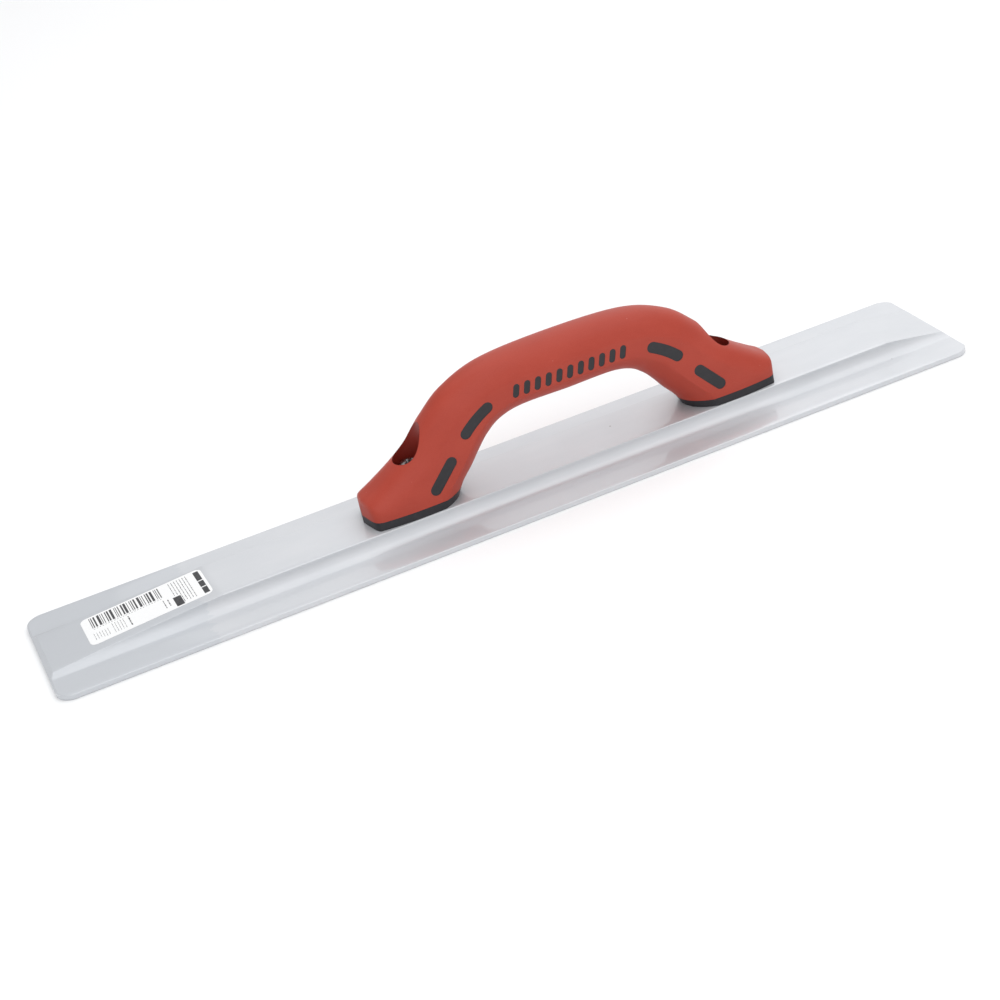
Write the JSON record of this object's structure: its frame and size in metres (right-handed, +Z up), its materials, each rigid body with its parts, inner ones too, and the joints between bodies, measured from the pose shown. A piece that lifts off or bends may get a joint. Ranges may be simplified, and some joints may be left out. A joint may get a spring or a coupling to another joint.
{
  "type": "magnesium hand float",
  "caption": "Long flat magnesium float blade with a raised land and milled ends, carrying an arched two-shot grip handle on vertical screws, for levelling fresh concrete.",
  "frame": {"origin": "middle of the blade's flat working face", "axes": "+X along the blade towards its heel, the end nearer the handle; +Y across the blade; +Z up from the working face to the handle"},
  "size_m": [0.508, 0.0794, 0.0772],
  "materials": {
    "magnesium": "satin mill finish of an extrusion, slightly brighter where the ends are milled",
    "core_plastic": "hard black moulded plastic, fine matt grain",
    "grip_elastomer": "brick red soft elastomer, satin, faint flow marks",
    "plated_steel": "bright zinc plate",
    "label_paper": null
  },
  "bodies": {
    "root": {"blade": "magnesium", "handle_core": "core_plastic", "grip_skin": "grip_elastomer", "washer_toe": "plated_steel", "washer_heel": "plated_steel", "screw_toe": "plated_steel", "screw_heel": "plated_steel", "label": "label_paper"}
  },
  "joints": []
}
